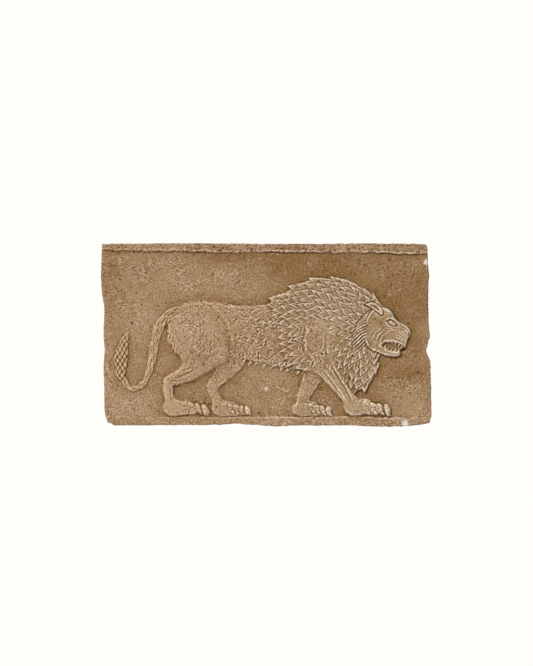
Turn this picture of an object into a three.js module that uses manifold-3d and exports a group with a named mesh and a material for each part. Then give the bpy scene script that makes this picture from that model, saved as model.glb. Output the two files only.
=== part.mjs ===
// A cast wall panel with a striding lion in low relief, after the fashion of old Mesopotamian palace
// carving: a rough-edged slab, a plain band above, a ledge below that the lion walks on, and a sunk
// field between them. Millimetres, +Z up. The origin is the middle of the flat back, in the plane of
// the wall, and the carving faces -Y. It is one casting, so it is one solid.
//
// The lion is drawn on the field as points [x, h]: x from the panel's middle, h above the ledge.
// "out" is a height in front of the sunk field. Points of the head are drawn in a frame of its own,
// with the cheek at its middle and the nose to the right, which headFrame then tilts and places.

import * as THREE from 'three';
import { ConvexGeometry } from 'three/addons/geometries/ConvexGeometry.js';
import { LoftGeometry } from 'three/addons/geometries/LoftGeometry.js';
import { mergeVertices } from 'three/addons/utils/BufferGeometryUtils.js';
import Module from 'manifold-3d';

const wasm = await Module();
wasm.setup();

// Slab
const FIELD_THICKNESS = 18;
const BAND_RISE = 1.8;
const LEDGE_RISE = 1.3;
const EDGE_ROUNDING = 0.8;
const BAND_FOOT = 74.9;
const BAND_SLOPE = -0.0095;
const LEDGE_TOP = -73.9;
const STRIP_LEAN = 0.4;
const STRIP_STEP = 16;
const STRIP_REACH = 10 * STRIP_STEP;
const CHIP_SIZE = 2.6;
const CHIP_FLATNESS = 0.8;

// The band's and the ledge's line wavers as the sum of two waves: [height, length over 2 pi, start]
const STRIP_WAVES = [[0.5, 31, 0], [0.35, 12.3, 1]];

// Chipped outline of the slab, clockwise from its top left corner, with the notch in the right edge
const SLAB_OUTLINE = [
	[-149.6, 83], [-60, 83.6], [20, 82.9], [90, 83.4], [143.6, 83], [145.2, 80.6],
	[145.6, 66], [147.2, 54], [146.2, 47], [146.2, 12], [147.6, 0], [145.8, -7.6],
	[144, -13.4], [145.6, -18.6], [148, -24], [148.6, -50], [149, -74], [148, -79],
	[143.5, -81], [120, -83], [92, -83], [78, -82], [26, -82], [8, -82.8],
	[-19, -81], [-30, -80.2], [-40, -81.4], [-137.5, -82], [-145.6, -78.2], [-147.4, -68],
	[-148.4, -29], [-147.4, -14], [-148.4, 4], [-147.6, 24], [-150.2, 40], [-151, 54],
];

// Small breaks along the front edges: [x, z, size]
const CHIPS = [
	[145.6, 66.5, 1.2], [148.6, -60, 0.8], [122, -83, 1.3], [-147.6, -30, 0.9],
	[-149.8, 40, 0.8], [-112, 84, 0.9], [-34, 84.2, 1.1], [47, 83.6, 0.8], [-88, -82.2, 1],
];

// How far raised forms reach into the slab behind the field
const ROOT = 2;

// A plate's edge stands upright for a share of its rise, then rounds over within a few tenths. Its
// crown has a knee at a share of its swell and of its height.
const EDGE_UPRIGHT = 0.55;
const EDGE_WIDTH = 1.1;
const KNEE_PLACE = 0.4;
const KNEE_HEIGHT = 0.65;
const MOST_INWARD = 0.85;

// Half of a limb's section above its root: [how far across, share of the rise, share of the crown]
const LIMB_SIDE = [[1, 0.5, 0], [0.8, 1, 0], [0.4, 1, 0.8]];

// A raised line narrows and sinks at its ends, and reaches a little into what it lies on
const LINE_END_WIDTH = 0.5;
const LINE_END_OUT = 0.1;
const LINE_ROOT = 1;

// Relief heights: each form's steep edge rises to "rise", and its crown swells by "crown" above that
const TAIL = { rise: 1.4, crown: 0.5 };
const TUFT = { rise: 1.9, crown: 0.5 };
const FAR_LEG = { rise: 1.2, crown: 0.5 };
const TORSO = { rise: 1.7, crown: 0.8, swell: 18 };
const NEAR_LEG = { rise: 2.2, crown: 1.0 };
const HAUNCH = { rise: 2.2, crown: 1.6, swell: 13 };
const MANE = { rise: 2.2, crown: 0.8, swell: 14 };
const SHOULDER = { rise: 2.6, crown: 1.4, swell: 12 };
const HEAD = { rise: 3.0, crown: 1.0, swell: 8 };

const TORSO_OUTLINE = [
	[-84, 97], [-72, 105], [-52, 106], [-26, 102], [0, 104], [22, 113], [50, 112], [76, 98], [88, 76],
	[84, 52], [68, 38], [46, 38], [22, 43], [-4, 47], [-28, 52], [-50, 56], [-74, 58], [-89, 70], [-91, 85],
];
const TORSO_SPINE = [[-66, 80], [66, 76]];

const HAUNCH_OUTLINE = [
	[-82, 95], [-69, 101], [-55, 98], [-43, 87], [-36, 72], [-33, 58], [-40, 48], [-54, 44],
	[-70, 47], [-83, 56], [-91, 68], [-91, 83],
];
const HAUNCH_SPINE = [[-66, 81], [-60, 65]];

const MANE_OUTLINE = [
	[2, 103], [16, 113], [34, 122], [54, 126], [74, 122.5], [90, 114.5], [103, 103], [101, 92], [97, 80],
	[96, 66], [99, 54], [99, 43], [95, 33], [86, 25], [75, 23], [62, 30], [48, 38], [31, 42],
	[19, 49], [12, 64], [8, 84],
];
const MANE_SPINE = [[26, 96], [62, 100], [70, 62], [82, 42]];

const SHOULDER_OUTLINE = [
	[44, 93], [55, 89], [63, 77], [66, 62], [62, 50], [51, 42], [38, 45], [31, 57], [29, 71], [34, 85],
];
const SHOULDER_SPINE = [[46, 75], [50, 60]];

// Legs, tail and tuft as smooth lines of [x, h, half width]
const TAIL_LINE = [
	[-70, 97, 4.4], [-83, 95, 5.2], [-93, 88, 5], [-100, 75, 4.5], [-103, 57, 4.1], [-107, 40, 3.6],
	[-115, 28, 3.2], [-125, 27, 3.1], [-131, 37, 3.2],
];
const TUFT_LINE = [
	[-130.5, 34, 2.9], [-132.5, 44, 5.6], [-132, 54, 6.6], [-129.5, 65, 4.8], [-126.5, 76, 0.9],
];
const NEAR_HIND_LEG = [
	[-48, 58, 14], [-62, 47, 12], [-78, 37, 8.6], [-89, 31, 6.6], [-89, 21, 5.8], [-86, 11, 6.6],
	[-84, 7.6, 7],
];
const NEAR_FORE_LEG = [
	[49, 58, 15], [56, 43, 11.8], [66, 28, 8.8], [74, 17, 7], [79, 8.6, 7.2],
];
const FAR_HIND_LEG = [
	[-26, 62, 13], [-34, 47, 10.5], [-43, 35, 7], [-49, 28, 5.8], [-47, 19, 5.2], [-43, 10, 5.8],
	[-41, 7, 6.2],
];
const FAR_FORE_LEG = [
	[50, 50, 13], [42, 38, 9.6], [36, 26, 7.2], [33, 16, 6], [32, 7.6, 6.4],
];

// Paws: the middle of the heel, a size, and how far the foot and its toes stand out
const PAWS = [
	{ heel: -84, size: 1.0, foot: { rise: 1.6, crown: 0.8 }, toesOut: 3.4 },
	{ heel: 80, size: 1.0, foot: { rise: 1.8, crown: 0.8 }, toesOut: 3.7 },
	{ heel: -41, size: 0.84, foot: { rise: 0.9, crown: 0.4 }, toesOut: 2.2 },
	{ heel: 32, size: 0.84, foot: { rise: 0.9, crown: 0.4 }, toesOut: 2.2 },
];
const FOOT_LINE = [[-8, 8, 2.5], [-5.5, 8.2, 6.5], [0, 8.6, 8.4], [10, 8.6, 8.2], [18, 6.6, 6.2]];
const TOES = 4;
const FIRST_TOE = { x: 28.4, h: 6.2 };
const TOE_STEP = { x: -6.2, h: 0.9 };
const TOE = { halfWidth: 3.5, halfHeight: 6.4, lean: 22 };
const CLAW = { length: 4.4, half: 1.4, out: 0.8 };
const CLAW_AT = { x: 1.6, h: -2.6, turn: -58, foot: 0.6 };

// Mane locks: overlapping pointed scales on rings round the face
const FACE_CENTRE = [102, 79];
const LOCK_RINGS = 13;
const FIRST_RING = 20.5;
const RING_PITCH = 6.5;
const LOCK_PITCH = 7.3;
const LOCK = { length: 7, half: 3.4, out: 1.3 };
const LOCK_MARGIN = 1.6;

// A lock's body reaches down into what it lies on, widening by its flare, and sinks in a little
const LOCK_DEPTH = 4.5;
const LOCK_FLARE = 1;
const LOCK_SINK = 0.1;

// Belly fringe: two rows of longer pointed locks under the flank
const FRINGE_LINE = [[-30, 52], [-14, 49], [6, 46], [26, 42.5], [44, 39]];
const FRINGE_LOCKS = 11;
const FRINGE_LOCK = { length: 9, half: 2.9, out: 1.1 };
const FRINGE_TURN = -136;
const FRINGE_ROW_PITCH = 4;
const FRINGE_RAISED = 4;
const FRINGE_FOOT = 1;
const FRINGE_ROW_FOOT = 0.8;

// Head
const HEAD_AT = [104, 77];
const HEAD_TILT = -20;
const HEAD_SCALE = 0.9;
const HEAD_OUTLINE = [
	[-18, 17], [-12, 23], [-5, 25], [2, 23.4], [7.6, 19], [13, 16.6], [20, 15], [26, 12], [28.6, 7.4],
	[27.2, 2.6], [27.6, -2], [27.4, -6.6], [24.4, -10], [25, -15], [20.6, -19.6], [11, -21.8], [0, -22],
	[-10, -19], [-16, -10], [-18.6, 2], [-19.4, 10],
];
const HEAD_SPINE = [[-4, -12], [-8, 10], [16, 5], [12, -12]];
const MOUTH_OUTLINE = [
	[28.4, -7], [20, -5.8], [12, -6.6], [5, -10.8], [5.4, -14], [12, -14.4], [19, -13.2], [26, -11.2],
];
const MOUTH_DEPTH = 1.7;

// Teeth, from the fang at the front backwards: where each row starts and how it is spaced
const TEETH = 5;
const TOOTH_PITCH = 3.5;
const UPPER_GUM = { x: 23.2, y: -5.8, drop: 0.35, foot: 0.6 };
const LOWER_GUM = { x: 21.5, y: -14, foot: 0.5 };
const TOOTH = { length: 2.8, half: 1.3, out: -0.2 };
const FANG = { length: 4.4, half: 1.7, out: -0.2 };

// Swellings of the face, muzzle first: [x, y, half length, half height, turn, how far out]
const FACE_SWELLINGS = [
	[20, 2, 8, 8, -20, 0.8],
	[-7, -4, 9, 13, 8, 0.7],
	[2, 19, 7, 4, -24, 0.6],
	[17, -17.6, 8, 3.6, 8, 0.6],
];

// Raised lines of the face: lips, and the lids round the eye
const FACE_LINES = [
	[[28, -5.4], [20, -4.2], [12, -5], [3.8, -9.6], [2.4, -13.8], [5.6, -16.4]],
	[[25.4, -13.2], [19, -15], [11, -16.2], [5, -16.6]],
	[[-0.6, 12.2], [3.6, 15.8], [9, 15], [13.2, 10.8]],
	[[-0.4, 11], [3.8, 8], [9, 8.4], [12.8, 10.2]],
];
const FACE_LINE = { half: 0.9, out: 0.7 };
const FACE_SINK = 0.4;

// Wrinkles of the snarl, each a step behind the one before
const WRINKLE_LINE = [[13, 6.4], [6, 3], [1, -4], [0.4, -12]];
const WRINKLES = 3;
const WRINKLE_STEP = [-4, 0.6];
const WRINKLE_OUT = 1.1;

const EYE = { x: 6.4, y: 11.4, halfLength: 3.6, halfHeight: 2.3, turn: -10, sink: 0.3, out: 1.1 };
const NOSTRIL = { x: 26, y: 7.4, size: 1.5, depth: 1.2, foot: 0.6 };
const EAR_LINE = [[-8, 17, 3], [-13, 20.6, 4.2], [-18.6, 21.8, 3.6], [-24.6, 20.4, 0.8]];
const EAR = { rise: 4, crown: 0.6 };
const EAR_HOLLOW = { x: -15.4, y: 20.8, halfLength: 5.4, halfHeight: 2, turn: 166, depth: 1 };

// Ruff: curved strands that fan out behind the cheek, from roots on a bowed line. The longest is at
// "fullest", and the others lose length with their distance from it.
const RUFF_STRANDS = 12;
const RUFF = { rise: 3.1, crown: 0.5, half: 1.4, foot: 2.1 };
const RUFF_ROOTS = { x: -12.5, bow: 4.5, top: 19, height: 37 };
const RUFF_STRAND = { turn: -142, spread: 24, bend: 6, length: 17, fullest: 0.4, loss: 3 };

// Ribs: low ridges on the flank, each a step behind the one before
const RIBS = 4;
const RIB_PITCH = 8;
const RIB_LINE = [[-6, 92], [-10, 80], [-16, 68], [-23, 58]];
const RIB = { half: 1.8, sink: 0.1, out: 0.2 };

const CASTING_COLOUR = 0x9f8161;

const radians = THREE.MathUtils.degToRad;

/** A point of the relief: x and h on the field, out in front of it. */
function onRelief(x, h, out) {
	return new THREE.Vector3(x, -(FIELD_THICKNESS + out), LEDGE_TOP + h);
}

/** Tilts and places points drawn in the head's own frame; a half width in third place is scaled. */
function headFrame(points) {
	const tilt = radians(HEAD_TILT);
	return points.map(([x, y, half = 1]) => [
		HEAD_AT[0] + HEAD_SCALE * (x * Math.cos(tilt) - y * Math.sin(tilt)),
		HEAD_AT[1] + HEAD_SCALE * (x * Math.sin(tilt) + y * Math.cos(tilt)),
		HEAD_SCALE * half,
	]);
}

/** A closed geometry as a solid that can be joined and cut. */
function solid(geometry) {
	const bare = new THREE.BufferGeometry();
	bare.setAttribute('position', geometry.attributes.position);
	bare.setIndex(geometry.index);
	const merged = mergeVertices(bare, 1e-5);
	return new wasm.Manifold(new wasm.Mesh({
		numProp: 3,
		vertProperties: new Float32Array(merged.attributes.position.array),
		triVerts: new Uint32Array(merged.index.array),
	}));
}

function joined(solids) {
	return solids.reduce((whole, piece) => whole.add(piece));
}

/** Points along a smooth line, with `per` steps from each given point to the next. */
function smoothLine(points, per, closed = false) {
	const controls = points.map(([x, h, half = 0]) => new THREE.Vector3(x, h, half));
	const curve = new THREE.CatmullRomCurve3(controls, closed, 'catmullrom', 0.5);
	const spans = closed ? points.length : points.length - 1;
	const line = curve.getPoints(spans * per);
	return closed ? line.slice(0, -1) : line;
}

function nearestOn(spine, point) {
	const found = new THREE.Vector3();
	let best = new THREE.Vector3(Infinity, 0, 0);
	for (let i = 1; i < spine.length; i++) {
		const from = new THREE.Vector3(...spine[i - 1], 0);
		const to = new THREE.Vector3(...spine[i], 0);
		new THREE.Line3(from, to).closestPointToPoint(point, true, found);
		if (found.distanceTo(point) < best.distanceTo(point)) {
			best = found.clone();
		}
	}
	return best;
}

/** A raised form with a smooth outline: a steep edge, then a crown that swells towards its spine. */
function plate(outline, spine, { rise, crown, swell }, per = 2) {
	const loop = smoothLine(outline, per, true);
	if (THREE.ShapeUtils.isClockWise(loop)) {
		loop.reverse();
	}
	const ring = (inset, out) => loop.map((point) => {
		const middle = nearestOn(spine, point.clone().setZ(0));
		const at = point.clone().lerp(middle, Math.min(inset / point.distanceTo(middle), MOST_INWARD));
		return onRelief(at.x, at.y, out);
	});
	const rings = [
		ring(0, -ROOT),
		ring(0, EDGE_UPRIGHT * rise),
		ring(EDGE_WIDTH, rise),
		ring(KNEE_PLACE * swell, rise + KNEE_HEIGHT * crown),
		ring(swell, rise + crown),
	];
	return solid(new LoftGeometry(rings, { capStart: true, capEnd: true }));
}

/** A vector of some length across a line, at one of its points. */
function acrossAt(line, i, length) {
	const before = line[Math.max(i - 1, 0)];
	const after = line[Math.min(i + 1, line.length - 1)];
	return new THREE.Vector2(before.y - after.y, after.x - before.x).setLength(length);
}

/** A tapering limb laid along a smooth line of [x, h, half width] points. */
function limb(points, { rise, crown }, per = 2) {
	const line = smoothLine(points, per);
	const side = LIMB_SIDE.map(([across, ofRise, ofCrown]) => [across, ofRise * rise + ofCrown * crown]);
	side.unshift([1, -ROOT]);
	const profile = [...side, ...side.map(([across, out]) => [-across, out]).reverse()];
	const sections = line.map((at, i) => {
		const across = acrossAt(line, i, at.z);
		return profile.map(([share, out]) => onRelief(at.x + share * across.x, at.y + share * across.y, out));
	});
	return solid(new LoftGeometry(sections, { capStart: true, capEnd: true }));
}

/** A raised line with a ridged top, for wrinkles, lips, lids and strands. */
function ridge(points, half, foot, out, per = 1) {
	const line = smoothLine(points, per);
	const sections = line.map((at, i) => {
		const end = i === 0 || i === line.length - 1;
		const across = acrossAt(line, i, end ? LINE_END_WIDTH * half : half);
		return [
			onRelief(at.x + across.x, at.y + across.y, foot),
			onRelief(at.x, at.y, end ? foot + LINE_END_OUT : out),
			onRelief(at.x - across.x, at.y - across.y, foot),
			onRelief(at.x, at.y, foot - LINE_ROOT),
		];
	});
	return solid(new LoftGeometry(sections, { capStart: true, capEnd: true }));
}

/** A rounded swelling, part of an ellipsoid turned in the plane of the relief. */
function swelling(x, h, halfLength, halfHeight, turn, foot, out, sides = 9) {
	const geometry = new THREE.SphereGeometry(1, sides, Math.ceil(sides * 0.6));
	geometry.scale(halfLength, out, halfHeight);
	geometry.rotateY(-radians(turn));
	const middle = onRelief(x, h, foot);
	geometry.translate(middle.x, middle.y, middle.z);
	return solid(geometry);
}

/** A pointed scale of hair: a triangle with its root at [x, h] that lifts towards its tip. */
function lock(x, h, turn, { length, half, out }, foot) {
	const along = [Math.cos(radians(turn)), Math.sin(radians(turn))];
	const corner = (forward, side, height) => onRelief(
		x + forward * along[0] - side * along[1], h + forward * along[1] + side * along[0], foot + height);
	return solid(new ConvexGeometry([
		corner(0, half, 0),
		corner(0, -half, 0),
		corner(length, 0, out),
		corner(0, half + LOCK_FLARE, -LOCK_DEPTH),
		corner(0, -half - LOCK_FLARE, -LOCK_DEPTH),
		corner(length + 2 * LOCK_FLARE, 0, -LOCK_DEPTH),
	]));
}

/** How far [x, h] is inside a closed line, or minus how far it is outside. */
function insideBy(x, h, line) {
	const point = new THREE.Vector3(x, h, 0);
	const found = new THREE.Vector3();
	let nearest = Infinity;
	let inside = false;
	line.forEach((to, i) => {
		const from = line[(i + line.length - 1) % line.length];
		new THREE.Line3(from, to).closestPointToPoint(point, true, found);
		nearest = Math.min(nearest, Math.hypot(found.x - x, found.y - h));
		if ((from.y > h) !== (to.y > h) && x < from.x + (h - from.y) / (to.y - from.y) * (to.x - from.x)) {
			inside = !inside;
		}
	});
	return inside ? nearest : -nearest;
}

/** The height of a plate's crown at a distance inside its edge. */
function crownAt(inset, { rise, crown, swell }) {
	return rise + crown * (1 - (1 - THREE.MathUtils.clamp(inset / swell, 0, 1)) ** 2);
}

function slab(thickness) {
	const shape = new THREE.Shape(SLAB_OUTLINE.map(([x, z]) => new THREE.Vector2(x, z)));
	const geometry = new THREE.ExtrudeGeometry(shape, {
		depth: thickness - 2 * EDGE_ROUNDING,
		bevelThickness: EDGE_ROUNDING,
		bevelSize: EDGE_ROUNDING,
		bevelOffset: -EDGE_ROUNDING,
		bevelSegments: 1,
	});
	geometry.translate(0, 0, EDGE_ROUNDING);
	geometry.rotateX(Math.PI / 2);
	return solid(geometry);
}

/** Everything above or below a gently wavering line, which leans back as it comes forward. */
function stripRegion(level, slope, beyond) {
	const line = [];
	for (let x = -STRIP_REACH; x <= STRIP_REACH; x += STRIP_STEP) {
		const waves = STRIP_WAVES.map(([height, length, start]) => height * Math.sin(x / length + start));
		line.push(new THREE.Vector2(x, level + slope * x + waves.reduce((sum, wave) => sum + wave)));
	}
	line.push(new THREE.Vector2(STRIP_REACH, beyond), new THREE.Vector2(-STRIP_REACH, beyond));
	const shape = new THREE.Shape(line);
	const geometry = new THREE.ExtrudeGeometry(shape, { depth: 2 * FIELD_THICKNESS, bevelEnabled: false });
	geometry.rotateX(Math.PI / 2);
	const lean = Math.sign(beyond - level) * STRIP_LEAN;
	geometry.applyMatrix4(new THREE.Matrix4().makeShear(0, 0, 0, -lean, 0, 0));
	geometry.translate(0, 0, -lean * FIELD_THICKNESS);
	return solid(geometry);
}

function framedSlab() {
	const band = slab(FIELD_THICKNESS + BAND_RISE).intersect(stripRegion(BAND_FOOT, BAND_SLOPE, 100));
	const ledge = slab(FIELD_THICKNESS + LEDGE_RISE).intersect(stripRegion(LEDGE_TOP, 0, -100));
	return joined([slab(FIELD_THICKNESS), band, ledge]);
}

/** What a small break takes away, turned by its place so that no two look alike. */
function chip([x, z, size]) {
	const geometry = new THREE.DodecahedronGeometry(CHIP_SIZE * size);
	geometry.scale(1, CHIP_FLATNESS, 1);
	geometry.rotateY(x);
	geometry.translate(x, -(FIELD_THICKNESS + BAND_RISE), z);
	return solid(geometry);
}

/** A foot with its row of knuckled toes, each with a claw at its lower front. */
function paw({ heel, size, foot, toesOut }) {
	const line = FOOT_LINE.map(([x, h, half]) => [heel + x * size, h * size, half * size]);
	const parts = [limb(line, foot, 1)];
	const claw = { ...CLAW, length: CLAW.length * size, half: CLAW.half * size };
	for (let i = 0; i < TOES; i++) {
		const x = heel + (FIRST_TOE.x + i * TOE_STEP.x) * size;
		const h = (FIRST_TOE.h + i * TOE_STEP.h) * size;
		const clawX = x + CLAW_AT.x * size;
		const clawH = h + CLAW_AT.h * size;
		parts.push(swelling(x, h, TOE.halfWidth * size, TOE.halfHeight * size, TOE.lean, 0, toesOut, 6));
		parts.push(lock(clawX, clawH, CLAW_AT.turn, claw, CLAW_AT.foot * toesOut));
	}
	return joined(parts);
}

function fringe() {
	const line = new THREE.CatmullRomCurve3(
		FRINGE_LINE.map(([x, h]) => new THREE.Vector3(x, h, 0)), false, 'catmullrom', 0.5);
	const parts = [];
	for (const row of [1, 0]) {
		for (let i = 0; i < FRINGE_LOCKS; i++) {
			const root = line.getPoint((i + 0.5 * row) / FRINGE_LOCKS);
			const h = root.y + FRINGE_RAISED + row * FRINGE_ROW_PITCH;
			parts.push(lock(root.x, h, FRINGE_TURN, FRINGE_LOCK, FRINGE_FOOT + row * FRINGE_ROW_FOOT));
		}
	}
	return joined(parts);
}

function ribs() {
	const top = TORSO.rise + TORSO.crown;
	const parts = [];
	for (let i = 0; i < RIBS; i++) {
		const line = RIB_LINE.map(([x, h]) => [x + i * RIB_PITCH, h]);
		parts.push(ridge(line, RIB.half, top - RIB.sink, top + RIB.out));
	}
	return joined(parts);
}

/** The mane's scales, left out where the shoulder or the head lies over them. */
function maneLocks() {
	const mane = smoothLine(MANE_OUTLINE, 4, true);
	const covers = [SHOULDER_OUTLINE, headFrame(HEAD_OUTLINE)].map((outline) => smoothLine(outline, 3, true));
	const leg = smoothLine(NEAR_FORE_LEG, 3);
	const parts = [];
	for (let ring = 0; ring < LOCK_RINGS; ring++) {
		const radius = FIRST_RING + ring * RING_PITCH;
		const count = Math.floor(2 * Math.PI * radius / LOCK_PITCH);
		for (let i = 0; i < count; i++) {
			const turn = 360 * (i + 0.5 * (ring % 2)) / count;
			const along = [Math.cos(radians(turn)), Math.sin(radians(turn))];
			const x = FACE_CENTRE[0] + radius * along[0];
			const h = FACE_CENTRE[1] + radius * along[1];
			const inset = insideBy(x, h, mane);
			const hidden = covers.some((cover) => insideBy(x, h, cover) > 0)
				|| leg.some((at) => Math.hypot(x - at.x, h - at.y) < at.z);
			if (inset > LOCK_MARGIN && !hidden) {
				parts.push(lock(x, h, turn, LOCK, crownAt(inset, MANE) - LOCK_SINK));
			}
		}
	}
	return joined(parts);
}

function ruff() {
	const parts = [];
	for (let i = 0; i < RUFF_STRANDS; i++) {
		const t = i / (RUFF_STRANDS - 1);
		const x = RUFF_ROOTS.x - RUFF_ROOTS.bow * Math.sin(t * Math.PI);
		const y = RUFF_ROOTS.top - RUFF_ROOTS.height * t;
		const turn = radians(RUFF_STRAND.turn + RUFF_STRAND.spread * t);
		const tipTurn = turn + radians(RUFF_STRAND.bend);
		const length = RUFF_STRAND.length - RUFF_STRAND.loss * Math.abs(t - RUFF_STRAND.fullest);
		const middle = [x + 0.5 * length * Math.cos(turn), y + 0.5 * length * Math.sin(turn)];
		const tip = [x + length * Math.cos(tipTurn), y + length * Math.sin(tipTurn)];
		parts.push(ridge(headFrame([[x, y], middle, tip]), RUFF.half, RUFF.foot, RUFF.rise + RUFF.crown));
	}
	return joined(parts);
}

function ear() {
	const { x, y, halfLength, halfHeight, turn, depth } = EAR_HOLLOW;
	const [[atX, atH]] = headFrame([[x, y]]);
	const top = EAR.rise + EAR.crown;
	const hollow = swelling(atX, atH, halfLength, halfHeight, turn + HEAD_TILT, top, depth, 8);
	return limb(headFrame(EAR_LINE), EAR).subtract(hollow);
}

function mouth() {
	const outline = smoothLine(headFrame(MOUTH_OUTLINE), 2, true);
	const shape = new THREE.Shape(outline.map(({ x, y }) => new THREE.Vector2(x, y)));
	const geometry = new THREE.ExtrudeGeometry(shape, { depth: 2 * HEAD.rise, bevelEnabled: false });
	geometry.rotateX(Math.PI / 2);
	geometry.translate(0, -(FIELD_THICKNESS + HEAD.rise + HEAD.crown - MOUTH_DEPTH), LEDGE_TOP);
	return solid(geometry);
}

function teeth() {
	const parts = [];
	for (let i = 0; i < TEETH; i++) {
		const tooth = i === 0 ? FANG : TOOTH;
		const back = i * TOOTH_PITCH;
		const [[upperX, upperH], [lowerX, lowerH]] = headFrame([
			[UPPER_GUM.x - back, UPPER_GUM.y - i * UPPER_GUM.drop], [LOWER_GUM.x - back, LOWER_GUM.y],
		]);
		parts.push(lock(upperX, upperH, -90 + HEAD_TILT, tooth, HEAD.rise + UPPER_GUM.foot));
		parts.push(lock(lowerX, lowerH, 90 + HEAD_TILT, tooth, HEAD.rise + LOWER_GUM.foot));
	}
	return joined(parts);
}

function wrinkles(foot) {
	const parts = [];
	for (let i = 0; i < WRINKLES; i++) {
		const line = WRINKLE_LINE.map(([x, y]) => [x + i * WRINKLE_STEP[0], y + i * WRINKLE_STEP[1]]);
		parts.push(ridge(headFrame(line), FACE_LINE.half, foot, foot + WRINKLE_OUT));
	}
	return parts;
}

function head() {
	const top = HEAD.rise + HEAD.crown;
	const spine = headFrame(HEAD_SPINE).map(([x, h]) => [x, h]);
	const swellings = FACE_SWELLINGS.map(([x, y, halfLength, halfHeight, turn, out]) => {
		const [[atX, atH]] = headFrame([[x, y]]);
		const size = [halfLength * HEAD_SCALE, halfHeight * HEAD_SCALE];
		return swelling(atX, atH, ...size, turn + HEAD_TILT, top - FACE_SINK, out + FACE_SINK);
	});
	const lineFoot = top - FACE_SINK;
	const lines = FACE_LINES.map((points) => (
		ridge(headFrame(points), FACE_LINE.half, lineFoot, top + FACE_LINE.out)));
	const [[eyeX, eyeH], [nostrilX, nostrilH]] = headFrame([[EYE.x, EYE.y], [NOSTRIL.x, NOSTRIL.y]]);
	const eye = swelling(
		eyeX, eyeH, EYE.halfLength, EYE.halfHeight, EYE.turn + HEAD_TILT, top - EYE.sink, EYE.out, 8);
	const nostril = swelling(
		nostrilX, nostrilH, NOSTRIL.size, NOSTRIL.size, 0, HEAD.rise + NOSTRIL.foot, NOSTRIL.depth, 6);
	return joined([plate(headFrame(HEAD_OUTLINE), spine, HEAD), ...swellings])
		.subtract(mouth())
		.subtract(nostril)
		.add(joined([...lines, ...wrinkles(lineFoot), eye, teeth()]));
}

function lion() {
	return joined([
		limb(TAIL_LINE, TAIL),
		limb(TUFT_LINE, TUFT),
		limb(FAR_HIND_LEG, FAR_LEG),
		limb(FAR_FORE_LEG, FAR_LEG),
		plate(TORSO_OUTLINE, TORSO_SPINE, TORSO),
		ribs(),
		fringe(),
		plate(HAUNCH_OUTLINE, HAUNCH_SPINE, HAUNCH),
		limb(NEAR_HIND_LEG, NEAR_LEG),
		plate(MANE_OUTLINE, MANE_SPINE, MANE),
		maneLocks(),
		plate(SHOULDER_OUTLINE, SHOULDER_SPINE, SHOULDER),
		limb(NEAR_FORE_LEG, NEAR_LEG),
		...PAWS.map(paw),
		ruff(),
		head(),
		ear(),
	]);
}

function reliefPanel() {
	const whole = framedSlab().add(lion()).subtract(joined(CHIPS.map(chip)));
	const { vertProperties, triVerts } = whole.getMesh();
	const geometry = new THREE.BufferGeometry();
	geometry.setAttribute('position', new THREE.BufferAttribute(vertProperties, 3));
	geometry.setIndex(new THREE.BufferAttribute(triVerts, 1));
	geometry.computeVertexNormals();
	const casting = new THREE.MeshStandardMaterial({ color: CASTING_COLOUR, roughness: 0.93, metalness: 0 });
	const mesh = new THREE.Mesh(geometry, casting);
	mesh.name = 'relief_panel';
	return mesh;
}

const panel = new THREE.Group();
panel.add(reliefPanel());

export default panel;
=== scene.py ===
"""The looks of a cast lion relief plaque: its fine carving, wear, pits and mottled matt finish.

The carving is worked out as a height map of the panel's front. Its points are [x, h] in
millimetres: x from the panel's middle and h above the ledge that the lion walks on. Heights of
the relief are millimetres out from the sunk field. MM turns them into Blender's metres.
"""
import math

import bpy
import numpy as np
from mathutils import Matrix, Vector


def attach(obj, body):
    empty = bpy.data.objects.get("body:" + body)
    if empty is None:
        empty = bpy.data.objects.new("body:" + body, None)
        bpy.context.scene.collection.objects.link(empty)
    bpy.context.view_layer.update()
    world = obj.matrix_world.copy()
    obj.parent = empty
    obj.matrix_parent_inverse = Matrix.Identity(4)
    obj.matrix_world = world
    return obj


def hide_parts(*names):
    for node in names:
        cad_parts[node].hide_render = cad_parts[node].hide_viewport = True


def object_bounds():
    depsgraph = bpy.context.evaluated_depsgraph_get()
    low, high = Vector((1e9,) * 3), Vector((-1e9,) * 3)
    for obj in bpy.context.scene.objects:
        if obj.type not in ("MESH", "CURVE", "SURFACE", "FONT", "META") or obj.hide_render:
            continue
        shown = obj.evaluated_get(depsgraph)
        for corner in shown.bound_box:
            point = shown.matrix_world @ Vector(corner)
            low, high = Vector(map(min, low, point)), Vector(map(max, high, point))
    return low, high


MM = 0.001

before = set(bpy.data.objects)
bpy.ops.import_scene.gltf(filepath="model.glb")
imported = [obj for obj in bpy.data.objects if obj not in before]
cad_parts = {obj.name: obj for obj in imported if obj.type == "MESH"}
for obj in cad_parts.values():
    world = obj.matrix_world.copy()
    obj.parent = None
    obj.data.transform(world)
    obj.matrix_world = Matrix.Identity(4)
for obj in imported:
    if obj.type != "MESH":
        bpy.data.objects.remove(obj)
cad_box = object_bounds()

# Slab, in millimetres
FIELD_THICKNESS = 18.0
BAND_RISE = 1.8
BAND_FOOT = 74.9
BAND_SLOPE = -0.0095
LEDGE_RISE = 1.3
LEDGE_TOP = -73.9
BACK_ROUNDING = 0.8

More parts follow.
